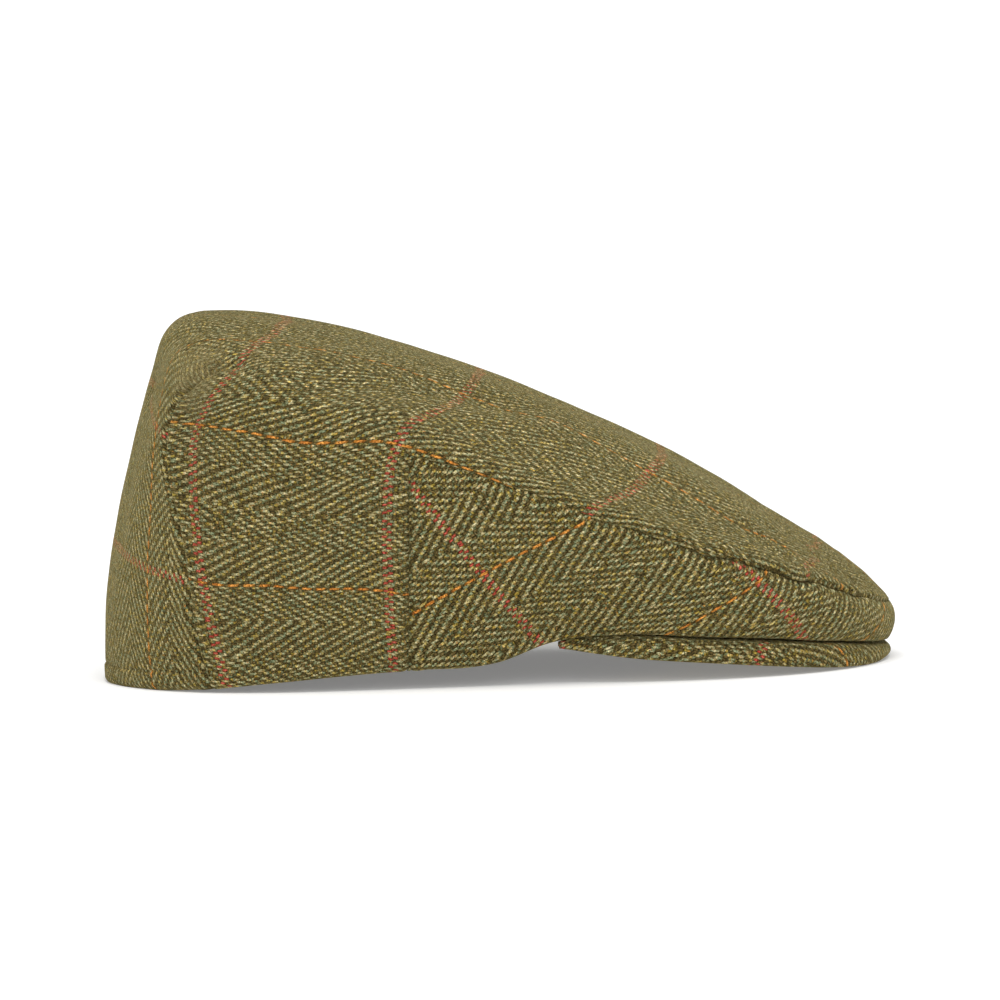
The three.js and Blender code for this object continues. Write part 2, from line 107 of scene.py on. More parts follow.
# Sections of the peak by crown station: its edge inside the cap, its reach, its lowest height and thickness
PEAK = table(
    "in_x in_half in_z reach low thick",
    [
        (194.0, 0.0, 27.0, 2.0, 12.3, 4.2),
        (191.5, 22.0, 26.8, 2.2, 10.9, 4.2),
        (185.0, 42.0, 26.2, 2.6, 11.1, 4.2),
        (176.0, 57.0, 25.4, 3.0, 12.6, 4.2),
        (168.0, 66.0, 24.6, 3.0, 14.5, 4.0),
        (161.0, 70.5, 23.6, 2.4, 16.4, 3.4),
        (154.5, 71.0, 21.4, 0.4, 19.6, 1.4),
    ],
)
PEAK_CLEARANCE = 0.7
PEAK_RED_X = 222.0
PEAK_ORANGE_HALF = 53.0
PEAK_CROWNING = 1.2
PEAK_TOP_SHARES = (0.0, 0.15, 0.3, 0.45, 0.6, 0.75, 0.85, 0.93, 1.0)

# Dents (positive depth) and raised rolls (negative depth) between two points of the cloth
FOLDS = {
    "dart crease": dict(a=(29, 68, 106), b=(36.5, 72, 113.6), width=2.8, depth=1.9),
    "fold crease": dict(a=(36.5, 72, 113.6), b=(47, 76, 115.6), width=2.8, depth=1.9),
    "dart hollow": dict(a=(31, 74, 100), b=(30, 66, 35), width=6, depth=0.9),
    "back edge hollow": dict(a=(28, 42, 125), b=(15, 20, 103), width=8, depth=1.5),
    "back hollow": dict(a=(15, 20, 103), b=(6, 24, 56), width=9, depth=0.9),
    "back corner roll": dict(a=(26, 58, 118), b=(18, 50, 80), width=10, depth=-1.2),
    "side fold roll": dict(a=(40, 86, 111), b=(66, 89, 111), width=8, depth=-1.0),
    "side roll": dict(a=(70, 98, 100), b=(104, 100, 92.5), width=6, depth=-1.1),
    "top hollow": dict(a=(69, 89, 110), b=(137, 52, 103), width=12, depth=2.8),
    "front top swell": dict(a=(165, 45, 90), b=(225, 38, 60), width=20, depth=-1.0),
}


def table_value(rows, column, at, ends_on_centre=True):
    """Catmull-Rom value at a fractional row; past an end on the centre line the other half follows."""
    values = rows[column]
    last = len(values) - 1
    at = np.clip(np.asarray(at, float), 0, last)
    row = np.minimum(np.floor(at).astype(int), last - 1)
    f = at - row
    sign = -1.0 if column.endswith("half") else 1.0
    after = sign * values[last - 1] if ends_on_centre else 2 * values[last] - values[last - 1]
    padded = np.concatenate([[sign * values[1]], values, [after]])
    a, b, c, d = (padded[row + k] for k in range(4))
    return 0.5 * (2 * b + (c - a) * f + (2 * a - 5 * b + 4 * c - d) * f**2 + (3 * b - a - 3 * c + d) * f**3)


def curve_value(rows, along, column, at):
    """Smooth value between rows sorted by one of their columns."""
    x, y = rows[along], rows[column]
    at = np.clip(np.asarray(at, float), x[0], x[-1])
    before = np.maximum(np.arange(len(x)) - 1, 0)
    after = np.minimum(np.arange(len(x)) + 1, len(x) - 1)
    slope = (y[after] - y[before]) / (x[after] - x[before])
    row = np.clip(np.searchsorted(x, at) - 1, 0, len(x) - 2)
    span = x[row + 1] - x[row]
    f = (at - x[row]) / span
    return (
        (2 * f**3 - 3 * f**2 + 1) * y[row]
        + (f**3 - 2 * f**2 + f) * span * slope[row]
        + (3 * f**2 - 2 * f**3) * y[row + 1]
        + (f**3 - f**2) * span * slope[row + 1]
    )


def smooth_step(start, end, x):
    f = np.clip((np.asarray(x, float) - start) / (end - start), 0, 1)
    return f * f * (3 - 2 * f)


def station(column, t):
    return table_value(STATIONS, column, t)


def fold_point(t):
    return np.stack([station("fold_x", t), station("fold_half", t), station("fold_z", t)], -1)


def rim_point(t):
    return np.stack([station("rim_x", t), station("rim_half", t), station("rim_z", t)], -1)


def wall_height(t):
    return np.linalg.norm(fold_point(t) - rim_point(t), axis=-1)


def unit(v):
    return v / np.maximum(np.linalg.norm(v, axis=-1, keepdims=True), 1e-9)


# Step over which slopes are measured, and the top's own slope near the crown's centre
SLOPE_STEP = 0.02
CENTRE_FROM = 1.97
CENTRE_NORMAL = (0.28, 0.0, 0.96)


def wall_outward(t):
    """Level direction away from the wall."""
    after = np.minimum(t + SLOPE_STEP, LAST)
    before = np.maximum(t - SLOPE_STEP, 0)
    run = fold_point(after) + rim_point(after) - fold_point(before) - rim_point(before)
    at_centre = (t < SLOPE_STEP) | (t > LAST - SLOPE_STEP)
    along = np.where(at_centre, 0.0, run[..., 0])
    return unit(np.stack([run[..., 1], -along, 0 * along], -1))


def wall_point(t, h):
    """Point on the wall: h is 0 at the rim and 1 at the fold."""
    swell = station("bulge", t) * 4 * h * (1 - h) * (1.25 - 0.5 * h)
    point = rim_point(t) * (1 - h)[..., None] + fold_point(t) * h[..., None]
    return point + wall_outward(t) * swell[..., None]


def top_point(t, r):
    """Point on the top: r is 1 at the fold and 0 at the crown's centre."""
    fold = fold_point(t)
    x = CROWN_CENTRE_X + r * (fold[..., 0] - CROWN_CENTRE_X)
    rise = (curve_value(RIDGE, "x", "z", x) - fold[..., 2]) * (1 - r ** station("dome", t))
    return np.stack([x, r * fold[..., 1], fold[..., 2] + rise], -1)


def fold_zone(t):
    """Heights where the rounded fold begins and ends."""
    fold = fold_point(t)
    turn = station("turn", t)
    return 1 - turn / wall_height(t), 1 + turn / np.hypot(fold[..., 0] - CROWN_CENTRE_X, fold[..., 1])


def form_point(t, height):
    """Smooth outer form of one half of the crown: height 0 is the rim, 1 the fold and 2 the crown centre."""
    t, height = np.broadcast_arrays(np.asarray(t, float), np.asarray(height, float))
    below, above = fold_zone(t)
    f = np.clip((height - below) / (above - below), 0, 1)[..., None]
    corner = (1 - f) ** 2 * wall_point(t, below) + 2 * f * (1 - f) * fold_point(t)
    corner = corner + f**2 * top_point(t, 2 - above)
    wall = wall_point(t, np.clip(height, 0, 1))
    top = top_point(t, np.clip(2 - height, 0, 1))
    low, high = (height <= below)[..., None], (height >= above)[..., None]
    return np.where(low, wall, np.where(high, top, corner))


def form_normal(t, height):
    """Direction away from the smooth form; at the crown's centre it is the same all round."""
    t, height = np.broadcast_arrays(np.asarray(t, float), np.asarray(height, float))
    after = np.minimum(t + SLOPE_STEP, LAST)
    before = np.maximum(t - SLOPE_STEP, 0)
    along = form_point(after, height) - form_point(before, height)
    up = form_point(t, np.minimum(height + SLOPE_STEP, 2 - SLOPE_STEP))
    up = up - form_point(t, np.maximum(height - SLOPE_STEP, 0))
    normal = np.cross(along, up)
    normal[..., 1] = np.where((t <= 0) | (t >= LAST), 0, normal[..., 1])
    return np.where((height > CENTRE_FROM)[..., None], unit(np.array(CENTRE_NORMAL)), unit(normal))


def fold_depth(point):
    """How deep the dents are, less the rolls, at each point."""
    total = np.zeros(point.shape[:-1])
    for fold in FOLDS.values():
        start, end = np.array(fold["a"], float), np.array(fold["b"], float)
        share = np.clip(((point - start) @ (end - start)) / np.sum((end - start) ** 2), 0, 1)
        distance = np.linalg.norm(point - start - share[..., None] * (end - start), axis=-1)
        total += fold["depth"] * np.exp(-((distance / fold["width"]) ** 2))
    return total


def settle(point, side):
    """From the drawing frame to the resting cap's own frame, in metres."""
    x = point[..., 0] * math.cos(REST_TILT) + point[..., 2] * math.sin(REST_TILT) - LENGTH_CENTRE
    z = point[..., 2] * math.cos(REST_TILT) - point[..., 0] * math.sin(REST_TILT) - REST_DROP
    return np.stack([x, side * point[..., 1], np.maximum(z, 0)], -1) * MM


def seeded_waves(point, wavelength, seed, count=7):
    """Smooth irregular values between about -1 and 1, the same in every run."""
    rng = np.random.default_rng(seed)
    total = np.zeros(point.shape[:-1])
    for _ in range(count):
        direction = unit(rng.normal(size=3))
        length = wavelength * rng.uniform(0.7, 1.5)
        total += np.sin((point @ direction) * (2 * math.pi / length) + rng.uniform(0, 2 * math.pi))
    return total / math.sqrt(count)


# How the cloth rises and sinks beside a seam: sink at the stitching, then a soft roll
SEAM_SHAPES = {
    "crown edge": dict(sink=0.45, narrow=0.6, roll=1.15, roll_at=1.8, roll_width=2.2),
    "side panel edge": dict(sink=1.25, narrow=2.4, roll=0.2, roll_at=5.0, roll_width=2.6),
    "upright seam": dict(sink=1.45, narrow=1.0, roll=0.38, roll_at=2.6, roll_width=1.9),
    "dart": dict(sink=1.25, narrow=0.9, roll=0.45, roll_at=2.6, roll_width=1.9),
    "front centre": dict(sink=0.9, narrow=0.9, roll=0.25, roll_at=2.6, roll_width=1.9),
}


def seam_height(name, distance, pucker):
    """Height of the cloth at a distance from a seam."""
    s = SEAM_SHAPES[name]
    d = np.abs(distance)
    roll = s["roll"] * (1 + 0.45 * pucker) * np.exp(-(((d - s["roll_at"]) / s["roll_width"]) ** 2))
    return roll - s["sink"] * np.exp(-((d / s["narrow"]) ** 1.5))


def seam_wander(t):
    """How far the long seam strays from its smooth course."""
    stray = 0.5 * np.sin(5.1 * t + 1.0) + 0.3 * np.sin(9.7 * t)
    return stray * smooth_step(0.0, 1.0, t) * smooth_step(SIDE_SEAM - 0.3, SIDE_SEAM - 1.6, t)


def lapped(t):
    """How strongly the crown's edge laps over the side panel, most towards the front."""
    return (0.4 + 0.6 * smooth_step(0.2, 1.8, t)) * (1.0 - 0.55 * smooth_step(5.0, 7.0, t))


HEM_BAND = 0.4
STITCH_DEPTH = 0.5


def hem_height(above, stitched):
    """Turned hem: rounded edge, a slightly fuller band and a stitched line."""
    edge = -0.75 * np.clip(1 - above / 1.3, 0, 1) ** 2
    beyond_band = smooth_step(STITCH_LINE - 1.0, STITCH_LINE + 0.4, above)
    band = HEM_BAND * smooth_step(0.6, 1.8, above) * (1 - beyond_band)
    line = -STITCH_DEPTH * np.exp(-(((above - STITCH_LINE) / 0.6) ** 2))
    return edge + stitched * (band + line)


# Irregular waves of the cloth: height, wavelength and seed. The left half has one set of its own. The pucker
# of the seams has a wavelength and a seed.
WAVES = [(0.22, 46, 3), (0.10, 19, 5)]
LEFT_WAVE = (0.8, 75, 9)
PUCKER = (11, 21)


def cloth_layers(t, h, side, rise, set_in=0.0):
    """Outer and inner points of a panel whose outer face is raised by rise over the smooth form."""
    form = form_point(t, h)
    normal = form_normal(t, h)
    place = form * np.stack([np.ones_like(t), -side * np.ones_like(t), np.ones_like(t)], -1)
    soft = -set_in - fold_depth(form)
    for wave, wavelength, seed in WAVES:
        soft = soft + wave * seeded_waves(place, wavelength, seed)
    wave, wavelength, seed = LEFT_WAVE
    left = smooth_step(-5, -60, place[..., 1]) * smooth_step(0.2, 0.8, h)
    soft = soft + wave * left * seeded_waves(place, wavelength, seed)
    outer = form + normal * (soft + rise)[..., None]
    inner = form + normal * (soft + np.clip(rise, -0.3, 0.1) - CLOTH_THICK)[..., None]
    return outer, inner


def spaced(*parts):
    """All the values in order, each once."""
    return np.unique(np.round(np.concatenate([np.atleast_1d(p) for p in parts]), 5))


def between(start, end, steps):
    """Values after start and up to end in equal steps."""
    return [start + (end - start) * f for f in np.linspace(0, 1, steps + 1)[1:]]


# Distances from a seam and from the rim at which the panels have rows of points, in millimetres
NEAR_SEAM = np.array([0.0, 0.3, 0.65, 1.05, 1.5, 2.1, 2.8, 3.6, 4.6])
BELOW_SEAM = np.array([2.4, 1.9, 1.2, 0.6])
HEM_ROWS = np.array([0.0, 0.45, 0.95, 1.6, 2.5, 3.6, 4.7, 5.4, 5.8, 6.1, 6.4, 6.7, 7.0, 7.5, 8.3, 9.5])

# How far the side panels sink under the crown's lap, and the rings that round a free edge
LAP_SET_IN = 0.6
EDGE_RINGS = 3
FACE_SIDE, REVERSE_SIDE = 0, 1


def open_edges(cells, has_centre):
    """Free edges of a panel's cells: column and row of both ends, and the step back into the panel."""
    columns, cell_rows = cells.shape
    edges = []
    for i, j in np.argwhere(cells):
        k = (i + 1) % columns
        last = j == cell_rows - 1
        if j == 0 or not cells[i, j - 1]:
            edges.append((i, j, k, j, 0, 1))
        if not cells[k, j]:
            edges.append((k, j, k, j + 1, -1, 0))
        if (last and not has_centre) or (not last and not cells[i, j + 1]):
            edges.append((k, j + 1, i, j + 1, 0, -1))
        if not cells[i - 1, j]:
            edges.append((i, j + 1, i, j, 1, 0))
    return edges


def edge_directions(outer, edges):
    """Unit direction away from the panel at the points of its free edges."""
    outward = np.zeros_like(outer)
    for i1, j1, i2, j2, di, dj in edges:
        for i, j in ((i1, j1), (i2, j2)):
            outward[i, j] += unit(outer[i, j] - outer[(i + di) % len(outer), j + dj])
    return unit(outward)


def add_object(name, data):
    item = bpy.data.objects.new(name, data)
    bpy.context.scene.collection.objects.link(item)
    return item


def mesh_piece(name, points, faces, places, kinds):
    """A smooth mesh object with the cloth's own coordinates at every corner of its faces."""
    mesh = bpy.data.meshes.new(name)
    mesh.from_pydata(points.tolist(), [], faces)
    mesh.update()
    mesh.uv_layers.new(name="Cloth").data.foreach_set("uv", places)
    mesh.polygons.foreach_set("material_index", kinds)
    mesh.polygons.foreach_set("use_smooth", [True] * len(faces))
    return add_object(name, mesh)


def cloth_piece(name, outer, inner, cells, charts, chart_of, edge_round, side, has_centre=False):
    """A closed cloth body between two grids of points, with its free edges rounded."""
    columns, rows = outer.shape[:2]
    count = columns * rows
    index = np.arange(count).reshape(columns, rows)
    if has_centre:
        index[:, -1] = index[0, -1]
    faces, face_places, kinds = [], [], []
    for i, j in np.argwhere(cells):
        k = (i + 1) % columns
        corners = [(i, j), (k, j), (k, j + 1), (i, j + 1)]
        if has_centre and j == rows - 2:
            corners = corners[:3]
        places = [charts[chart_of[i]][corner] for corner in corners]
        faces.append([index[corner] for corner in corners])
        faces.append([index[corner] + count for corner in corners[::-1]])
        face_places += [places, places[::-1]]
        kinds += [FACE_SIDE, REVERSE_SIDE]

    edges = open_edges(cells, has_centre)
    outward = edge_directions(outer, edges)
    ring_index, ring_points = {}, []
    for i1, j1, i2, j2, _, _ in edges:
        for point in ((i1, j1), (i2, j2)):
            if point in ring_index:
                continue
            first = 2 * count + len(ring_points)
            ring_index[point] = [index[point], *range(first, first + EDGE_RINGS), index[point] + count]
            middle = (outer[point] + inner[point]) / 2
            for angle in np.linspace(0, math.pi, EDGE_RINGS + 2)[1:-1]:
                bulge = math.sin(angle) * edge_round[point] * outward[point]
                ring_points.append(middle + math.cos(angle) * (outer[point] - middle) + bulge)
    for i1, j1, i2, j2, di, dj in edges:
        chart = charts[chart_of[min(i1, i2)]]
        rings, over = [], []
        for i, j in ((i1, j1), (i2, j2)):
            inside = ((i + di) % columns, j + dj)
            per_mm = (chart[i, j] - chart[inside]) / np.linalg.norm(outer[i, j] - outer[inside])
            rings.append(ring_index[i, j])
            over.append([chart[i, j] + per_mm * d for d in np.linspace(0, CLOTH_THICK, EDGE_RINGS + 2)])
        for k in range(EDGE_RINGS + 1):
            faces.append([rings[0][k], rings[0][k + 1], rings[1][k + 1], rings[1][k]])
            face_places.append([over[0][k], over[0][k + 1], over[1][k + 1], over[1][k]])
            kinds.append(FACE_SIDE)

    points = np.concatenate([outer.reshape(-1, 3), inner.reshape(-1, 3), np.array(ring_points)])
    ring_sides = np.repeat([side[point] for point in ring_index], EDGE_RINGS)
    points = settle(points, np.concatenate([side.reshape(-1), side.reshape(-1), ring_sides]))
    return mesh_piece(name, points, faces, np.concatenate([np.ravel(p) for p in face_places]), kinds)


def tidy_mesh(piece, flip):
    """Drops unused points and turns the faces outward."""
    mesh = bmesh.new()
    mesh.from_mesh(piece.data)
    bmesh.ops.delete(mesh, geom=[v for v in mesh.verts if not v.link_faces], context="VERTS")
    if flip:
        bmesh.ops.reverse_faces(mesh, faces=mesh.faces)
    mesh.to_mesh(piece.data)
    mesh.free()


def along_dart(column, h):
    """Station of a column: those behind the upright seam lean so that one of them follows the dart."""
    dart = curve_value(DART, "height", "station", h)
    start = SIDE_SEAM + 0.2
    wing = start + (column - start) * (dart - start) / (DART_COLUMN - start)
    back = dart + (column - DART_COLUMN) * (LAST - dart) / (LAST - DART_COLUMN)
    return np.where(column <= start, column, np.where(column < DART_COLUMN, wing, back))


# About how wide a station is on the wall, and the steps in which the panels are divided
MM_PER_STATION = 26.5
DART_MM_PER_STATION = 22.0
COLUMN_STEP = 0.07
WALL_STEPS = 47
FOLD_STEPS = 10
TOP_STEPS = 35
SIDE_STEPS = 43
GAP_STATIONS = HALF_GAP / MM_PER_STATION
BEHIND_SEAM = SIDE_SEAM + GAP_STATIONS


def crown_columns():
    """Columns round one half, closer together beside the upright seam and the dart."""
    near_dart = np.concatenate([-NEAR_SEAM[::-1], NEAR_SEAM[1:]]) / DART_MM_PER_STATION
    return spaced(
        np.arange(0, SIDE_SEAM - 0.02, COLUMN_STEP),
        BEHIND_SEAM + NEAR_SEAM / MM_PER_STATION,
        np.arange(BEHIND_SEAM + 0.24, DART_COLUMN - 0.25, COLUMN_STEP),
        DART_COLUMN + near_dart,
        np.arange(DART_COLUMN + 0.28, LAST, COLUMN_STEP),
        LAST,
    )


def crown_rise(column, h, seam, wall):
    """Relief of the crown cloth at its seams, its darts and its hem."""
    pucker = seeded_waves(form_point(along_dart(column, h), h), *PUCKER)
    up = (h - seam) * wall
    back = (column - BEHIND_SEAM) * MM_PER_STATION
    from_corner = np.hypot(np.maximum(up, 0), np.maximum(back, 0))
    ahead = 1 - smooth_step(SIDE_SEAM, SIDE_SEAM + 0.35, column)
    long_seam = seam_height("crown edge", from_corner, pucker) * lapped(column) * ahead
    upright = seam_height("upright seam", np.maximum(back, 0), pucker) * (1 - smooth_step(-6, 0.5, up))
    to_dart = (column - DART_COLUMN) * DART_MM_PER_STATION
    dart = seam_height("dart", to_dart, pucker) * (1 - smooth_step(0.84, 1.05, h))
    behind = column > BEHIND_SEAM - 1e-6
    return long_seam * (up > -1e-6) + behind * (upright + dart + hem_height(h * wall, 1.0))


def crown_piece():
    """One cloth: its wall begins behind the upright seams, and its top covers both halves."""
    half = crown_columns()
    round_columns = np.concatenate([half, half[-2:0:-1]])
    side = np.concatenate([-np.ones(len(half)), np.ones(len(half) - 2)])
    t_mid = along_dart(round_columns, 0.5)
    wall = wall_height(t_mid)
    sewn = round_columns <= BEHIND_SEAM + 1e-6
    seam = station("seam", t_mid) + np.where(sewn, (HALF_GAP + seam_wander(t_mid)) / wall, 0)
    roll_end = seam + NEAR_SEAM[-1] / wall
    fold_end = np.maximum(fold_zone(t_mid)[1], roll_end + 0.02)
    rows = [d / wall for d in HEM_ROWS]
    rows += between(rows[-1], seam - BELOW_SEAM[0] / wall, WALL_STEPS)[:-1]
    rows += [seam - d / wall for d in BELOW_SEAM[1:]]
    seam_row = len(rows)
    rows += [seam + d / wall for d in NEAR_SEAM]
    rows += between(roll_end, fold_end, FOLD_STEPS)
    top_row = len(rows) - 1
    rows += between(fold_end, 2, TOP_STEPS)
    h = np.stack(rows, 1)
    side = np.broadcast_to(side[:, None], h.shape)
    column = np.broadcast_to(round_columns[:, None], h.shape)
    t = along_dart(column, h)
    rise = crown_rise(column, h, seam[:, None], wall[:, None])
    outer, inner = cloth_layers(t, h, side, rise)
    cells = np.ones((len(round_columns), h.shape[1] - 1), bool)
    ahead = np.roll(round_columns, -1)
    cells[:, :seam_row] = ((round_columns > SIDE_SEAM) & (ahead > SIDE_SEAM))[:, None]
    edge_round = np.where(h < 1e-6, 1.0, 0.25)
    charts = crown_charts(column, t, h, side, top_row)
    behind_dart = np.minimum(round_columns, ahead) >= DART_COLUMN - 1e-6
    chart_of = behind_dart.astype(int)
    piece = cloth_piece("crown_tweed", outer, inner, cells, charts, chart_of, edge_round, side, True)
    tidy_mesh(piece, True)
    return piece


def side_piece(name, side):
    """Triangular panel from the front centre to the upright seam, below the long seam."""
    near = NEAR_SEAM / MM_PER_STATION
    columns = spaced(
        GAP_STATIONS + near,
        np.arange(0.26, SIDE_SEAM - 0.2, COLUMN_STEP),
        SIDE_SEAM - GAP_STATIONS - near,
    )
    wall = wall_height(columns)
    seam = station("seam", columns) + (seam_wander(columns) - HALF_GAP) / wall
    tight = np.minimum(1.0, seam * wall / 24.0)
    rows = [d * tight / wall for d in HEM_ROWS]
    rows += between(rows[-1], seam - NEAR_SEAM[-1] * tight / wall, SIDE_STEPS)[:-1]
    rows += [seam - d * tight / wall for d in NEAR_SEAM[::-1]]
    h = np.stack(rows, 1)
    t = np.broadcast_to(columns[:, None], h.shape)
    wall = wall[:, None]
    pucker = seeded_waves(form_point(t, h), *PUCKER)
    below = (seam[:, None] - h) * wall
    long_seam = seam_height("side panel edge", below, pucker) * lapped(t)
    upright = seam_height("upright seam", (SIDE_SEAM - GAP_STATIONS - t) * MM_PER_STATION, pucker)
    front_centre = seam_height("front centre", (t - GAP_STATIONS) * MM_PER_STATION, pucker)
    stitched = smooth_step(PEAK_END - 0.3, PEAK_END + 0.1, t)
    rise = long_seam + upright + front_centre + hem_height(h * wall, stitched)
    under_lap = smooth_step(0.6, 2.0, t) * smooth_step(6.2, 3.8, t) * np.exp(-((below / 6.5) ** 2))
    outer, inner = cloth_layers(t, h, side, np.maximum(rise, -1.5), LAP_SET_IN * under_lap)
    cells = np.ones((len(columns), h.shape[1] - 1), bool)
    cells[-1] = False
    edge_round = np.where(h < 1e-6, np.where(t > PEAK_END, 1.0, 0.3), 0.25)
    chart_of = np.zeros(len(columns), int)
    sides = np.full(h.shape, float(side))
    piece = cloth_piece(name, outer, inner, cells, [side_chart(t, h, side)], chart_of, edge_round, sides)
    tidy_mesh(piece, side < 0)
    return piece


# The cloth's own coordinates in millimetres: the first runs along the warp and the herringbone's bands, the
# second across them. The coloured lines sit at whole repeats of these, so the charts place the check.
CLOTH_SHRINK = 1.09
ORANGE_AT = 4.0
RED_AT_X = 64.6
BACK_CONE = 150.0
BACK_KEEPS = 110.0
BACK_SHRINK = 0.15
DART_END = 1.02
WING_SHARE = 0.25

# How far a weft line has run back from where it crosses the centre line, by distance round the side
SETBACK = table(
    "across rear front",
    [
        (0, 0, 0), (40, 4, 2.5), (60, 10, 7), (76, 16, 12), (90, 24, 19), (100, 30, 25), (108, 32.5, 28.5),
        (116, 33, 30.5), (140, 30.5, 31.5), (160, 27.5, 31), (185, 22, 29.5), (210, 14, 27.5), (240, 6, 25),
    ],
)

# Where the cloth was pulled across its warp: place, shift and reach of each pull
PULLS = [
    dict(x=30, across=112, shift=5, x_reach=14, across_reach=26),
    dict(x=70, across=110, shift=-3.8, x_reach=18, across_reach=90),
    dict(x=135, across=55, shift=4, x_reach=25, across_reach=25),
]

# Crown columns over which each chart leans towards the other beside the dart
JOIN_COLUMNS = 2.2


def ridge_arc(x):
    """Arc length along the centre line from where a red line crosses it."""
    grid = np.linspace(RIDGE["x"][0], RIDGE["x"][-1], 500)
    height = curve_value(RIDGE, "x", "z", grid)
    arc = np.concatenate([[0], np.cumsum(np.hypot(np.diff(grid), np.diff(height)))])
    arc -= np.interp(RED_AT_X, grid, arc)
    start = arc[0] + np.minimum(x - grid[0], 0)
    return np.where(x < grid[0], start, np.interp(x, grid, arc))


def running_sum(steps, axis, from_index):
    """Sum of steps between neighbours along an axis, zero at from_index."""
    pad = [(0, 0)] * steps.ndim
    pad[axis] = (1, 0)
    total = np.pad(np.cumsum(steps, axis), pad)
    return total - np.take(total, [from_index], axis)


def section_extra(dome, drop, width, share):
    """How much longer than its width the top's cross curve is, out to a share of it."""
    return 0.5 * (dome * drop / width) ** 2 * width * share ** (2 * dome - 1) / (2 * dome - 1)


def fall_length(x, half, t, r):
    """Extra length of the cross curve: by station over the rear, and straight across at the front."""
    ridge = curve_value(RIDGE, "x", "z", x)
    drop = np.maximum(ridge - station("fold_z", t), 0)
    by_station = section_extra(station("dome", t), drop, np.maximum(station("fold_half", t), 20.0), r)
    grid = np.linspace(0, SIDE_SEAM, 600)
    here = np.interp(-x, -station("fold_x", grid), grid)
    width = np.maximum(station("fold_half", here), 1.0)
    drop = np.maximum(ridge - station("fold_z", here), 0)
    straight = section_extra(station("dome", here), drop, width, np.clip(half / width, 0, 1))
    return by_station + smooth_step(150, 190, x) * (straight - by_station)


def pull_shift(x, across):
    """How far the cloth is pulled across its warp."""
    total = np.zeros_like(across)
    for pull in PULLS:
        along = ((x - pull["x"]) / pull["x_reach"]) ** 2
        sideways = ((across - pull["across"]) / pull["across_reach"]) ** 2
        total += pull["shift"] * np.exp(-along - sideways)
    return total * smooth_step(5, 40, across)


def wing_chart(t, h, form, on_top, top_row):
    """Chart of the top, carried down over the wings: lengthways along the ridge and across from it."""
    x = form[..., 0]
    across = form[..., 1] + fall_length(x, form[..., 1], t, np.clip(2 - h, 0, 1))
    steps = np.diff(form, axis=1)
    to_front = smooth_step(SIDE_SEAM, 4.5, t)
    facing = wall_outward(t)
    sideways = 1 - to_front * (1 - facing[..., 1])
    down = -running_sum(np.hypot(steps[..., 1], steps[..., 2] * sideways[:, 1:]), 1, top_row)
    forward = -running_sum(np.abs(steps[..., 2]) * (to_front * facing[..., 0])[:, 1:], 1, top_row)
    across = np.where(on_top, across, across[:, [top_row]] + down)
    rear_share = smooth_step(95, 45, x)
    setback = rear_share * curve_value(SETBACK, "across", "rear", across)
    setback = setback + (1 - rear_share) * curve_value(SETBACK, "across", "front", across)
    setback = setback * (1 - 0.75 * smooth_step(190, 235, x))
    lengthways = ridge_arc(x + setback) + np.where(on_top, 0, forward)
    return np.stack([lengthways, CLOTH_SHRINK * across + pull_shift(x, across)], -1)


def back_chart(column, form, wing, on_top, top_row):
    """Chart of the back, rolled off a cone, which runs on from the top's chart at the fold."""
    steps = np.diff(form, axis=1)
    fall = np.where(on_top, 0, -running_sum(np.linalg.norm(steps, axis=-1), 1, top_row))
    last = np.argmin(np.abs(column[:, 0] - LAST))
    around = np.abs(running_sum(np.linalg.norm(np.diff(form, axis=0), axis=-1), 0, last))
    radius = BACK_CONE + fall
    turned = np.where(column >= DART_COLUMN - 0.01, around / radius, 0)
    start = ridge_arc(RIDGE["x"][0])
    backward = start + BACK_CONE - radius * np.cos(turned) - BACK_SHRINK * fall
    cone = np.stack([backward, CLOTH_SHRINK * radius * np.sin(turned)], -1)
    carried = (wing - cone)[:, [top_row]] * np.exp(-fall / BACK_KEEPS)[..., None]
    return np.where(on_top[..., None], wing, cone + carried)


def crown_charts(column, t, h, side, top_row):
    """Chart of the top and its wings, and chart of the back, which the dart divides and the corner joins."""
    form = form_point(t, h)
    on_top = (np.arange(h.shape[1]) >= top_row)[None, :]
    wing = wing_chart(t, h, form, on_top, top_row)
    back = back_chart(column, form, wing, on_top, top_row)
    for this_side in np.unique(side):
        columns = np.nonzero(side[:, 0] == this_side)[0]
        dart = columns[np.argmin(np.abs(column[columns, 0] - DART_COLUMN))]
        end = np.argmin(np.abs(h[dart] - DART_END))
        apart = (back - wing)[dart]
        apart = np.where((np.arange(h.shape[1]) < end)[:, None], apart[end], apart)
        apart = apart * smooth_step(0.45, 0.98, h[dart])[:, None]
        near_wing = smooth_step(DART_COLUMN - JOIN_COLUMNS, DART_COLUMN, column[columns])[..., None]
        near_back = smooth_step(DART_COLUMN + JOIN_COLUMNS, DART_COLUMN, column[columns])[..., None]
        wing[columns] += WING_SHARE * near_wing * apart
        back[columns] -= (1 - WING_SHARE) * near_back * apart
    sign = np.stack([-np.ones_like(side), -side], -1)
    return [wing * sign, back * sign]


# The side panels are cut on the bias: angles of the warp, which climbs forward, and of the weft, which falls
SIDE_GRAIN = table(
    "along warp weft",
    [(0, 31, 38), (40, 32, 41), (90, 33, 47), (140, 37, 51), (200, 38, 53)],
)
SIDE_SHIFT = (-48.2, -23.6)
SIDE_LENGTH = 220


def side_place(t, h):
    """Distance forward along the panel and height on it."""
    grid = np.linspace(0, SIDE_SEAM, 400)
    middle = form_point(grid, 0.5)[:, :2]
    arc = np.concatenate([[0], np.cumsum(np.linalg.norm(np.diff(middle, axis=0), axis=1))])
    along = arc[-1] - np.interp(t, grid, arc)
    return along, rim_point(t)[..., 2] + h * wall_height(t) * 1.02


